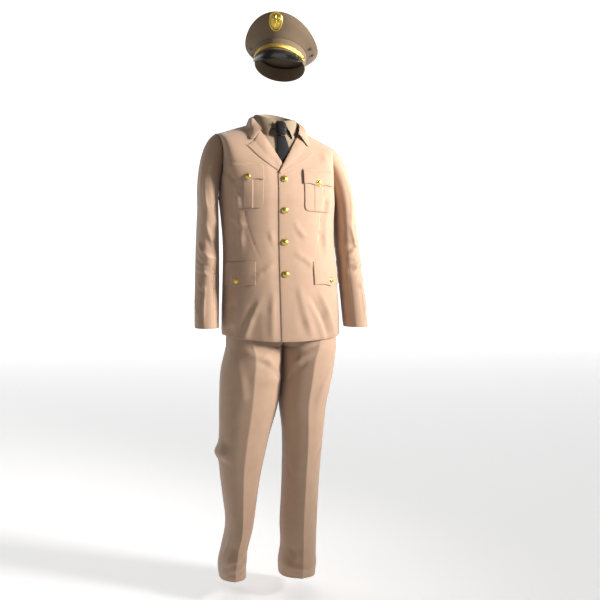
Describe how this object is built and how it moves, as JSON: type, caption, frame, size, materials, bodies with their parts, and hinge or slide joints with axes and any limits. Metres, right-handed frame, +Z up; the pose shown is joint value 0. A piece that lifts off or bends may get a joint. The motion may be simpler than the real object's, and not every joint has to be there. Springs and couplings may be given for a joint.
{
  "type": "ceremonial uniform of cap, coat, trousers, shirt and tie",
  "caption": "Ceremonial uniform, hollow as worn: peaked cap, buttoned coat with flap pockets and lapels, shirt collar and tie, pressed straight trousers.",
  "frame": {"origin": "middle of the neck base between the shoulders, where the wearer carries the coat", "axes": "+Z up, the front faces -Y, +X is the wearer's left"},
  "size_m": [0.565, 0.2845, 1.81],
  "materials": {
    "khaki_twill": "fine wool twill, matt",
    "shirt_poplin": "plain cotton, matt",
    "tie_black": "satin weave",
    "gold_metal": "bright gilt",
    "cap_cloth": "dark wool twill, matt",
    "peak_black": "patent gloss"
  },
  "bodies": {
    "root": {"cap_badge": "gold_metal", "cap_band": "cap_cloth", "cap_button_left": "gold_metal", "cap_button_right": "gold_metal", "cap_crown": "cap_cloth", "cap_peak": "peak_black", "cap_strap": "gold_metal", "cap_vent_1": "cap_cloth", "cap_vent_2": "cap_cloth", "cap_vent_3": "cap_cloth", "cap_vent_4": "cap_cloth", "chest_button_left": "gold_metal", "chest_button_right": "gold_metal", "chest_flap_left": "khaki_twill", "chest_flap_right": "khaki_twill", "chest_pocket_left": "khaki_twill", "chest_pocket_right": "khaki_twill", "coat_back_left": "khaki_twill", "coat_back_right": "khaki_twill", "coat_collar": "khaki_twill", "coat_front_left": "khaki_twill", "coat_front_right": "khaki_twill", "front_button_1": "gold_metal", "front_button_2": "gold_metal", "front_button_3": "gold_metal", "front_button_4": "gold_metal", "hip_button_left": "gold_metal", "hip_button_right": "gold_metal", "hip_flap_left": "khaki_twill", "hip_flap_right": "khaki_twill", "lapel_left": "khaki_twill", "lapel_right": "khaki_twill", "shirt_back": "shirt_poplin", "shirt_collar": "shirt_poplin", "shirt_front": "shirt_poplin", "tie_blade": "tie_black", "tie_knot": "tie_black", "top_sleeve_left": "khaki_twill", "top_sleeve_right": "khaki_twill", "trouser_back_left": "khaki_twill", "trouser_back_right": "khaki_twill", "trouser_front_left": "khaki_twill", "trouser_front_right": "khaki_twill", "under_sleeve_left": "khaki_twill", "under_sleeve_right": "khaki_twill", "waistband": "khaki_twill"}
  },
  "joints": []
}
